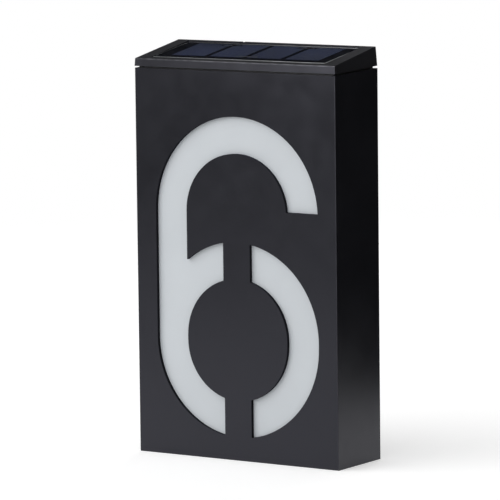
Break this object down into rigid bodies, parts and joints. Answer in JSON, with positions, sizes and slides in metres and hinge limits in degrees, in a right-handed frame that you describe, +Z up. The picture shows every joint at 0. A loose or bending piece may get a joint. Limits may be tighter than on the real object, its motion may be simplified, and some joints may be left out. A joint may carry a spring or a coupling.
{
  "type": "solar house number light",
  "caption": "Flat upright box light with a stencil numeral over an opal panel, a wedge lid that holds a solar panel, and keyholes in the back for a wall.",
  "frame": {"origin": "under the middle of the box, on the surface that it can stand on", "axes": "+X to the right seen from the front, +Y from the front towards the wall, +Z up"},
  "size_m": [0.12, 0.04, 0.2088],
  "materials": {
    "coated_sheet": "fine-textured powder coat, matt black",
    "lid_plastic": "moulded, fine satin grain",
    "back_plastic": "moulded, fine spark-eroded grain",
    "opal_sheet": "opal acrylic, satin face",
    "white_tray": "white reflector plastic",
    "black_rubber": "moulded rubber",
    "grey_foam": "closed-cell foam",
    "zinc_steel": "zinc plated",
    "post_aluminium": "turned",
    "white_board": "white solder mask",
    "green_board": "green solder mask",
    "led_package": "white package with yellow phosphor",
    "chip_black": "moulded package",
    "ferrite": "sintered ferrite",
    "capacitor_can": "drawn can",
    "connector_white": "moulded nylon",
    "switch_metal": "folded tinplate",
    "knob_plastic": "moulded, light grey",
    "nickel_plate": "nickel plated",
    "cell_sleeve": "printed sleeve, plain green",
    "wire_red": "insulated wire",
    "wire_black": "insulated wire",
    "bond_pad": "foam tape",
    "panel_black": "black carrier board",
    "silicon": "dark blue solar cell",
    "tinned_strip": "tinned copper",
    "clear_cover": "clear casting"
  },
  "bodies": {
    "sign_body": {"housing_shell": "coated_sheet", "cover_posts": "post_aluminium", "tray_posts": "post_aluminium", "diffuser_panel": "opal_sheet", "diffuser_gasket": "grey_foam", "reflector_tray": "white_tray", "tray_screws": "zinc_steel", "led_board": "white_board", "led_lamps": "led_package", "led_board_screws": "zinc_steel", "led_lead_plus": "wire_red", "led_lead_minus": "wire_black", "rear_cover": "back_plastic", "rear_seal": "black_rubber", "rear_cover_screws": "zinc_steel", "control_board": "green_board", "control_board_screws": "zinc_steel", "driver_chip": "chip_black", "choke_coil": "ferrite", "filter_capacitor": "capacitor_can", "wire_headers": "connector_white", "wire_plugs": "connector_white", "switch_body": "switch_metal", "battery_cell": "cell_sleeve", "battery_contact_plus": "nickel_plate", "battery_contact_minus": "nickel_plate", "battery_spring": "nickel_plate", "battery_lead_plus": "wire_red", "battery_lead_minus": "wire_black", "cap_shell": "lid_plastic", "cap_gasket": "black_rubber", "cap_screws": "zinc_steel", "lead_grommet": "black_rubber", "solar_lead_plus": "wire_red", "solar_lead_minus": "wire_black", "panel_adhesive": "bond_pad", "solar_backing": "panel_black", "solar_cells": "silicon", "cell_ribbons": "tinned_strip", "solar_cover": "clear_cover"},
    "battery_door": {"battery_door": "back_plastic", "battery_door_seal": "black_rubber", "battery_door_screws": "zinc_steel"},
    "switch_knob": {"switch_knob": "knob_plastic"}
  },
  "joints": [
    {"name": "battery_door_lift", "type": "slide", "parent": "sign_body", "child": "battery_door", "axis": [0, 1, 0], "range_m": [0, 0.04]},
    {"name": "switch_slide", "type": "slide", "parent": "sign_body", "child": "switch_knob", "axis": [1, 0, 0], "range_m": [0, 0.003]}
  ]
}
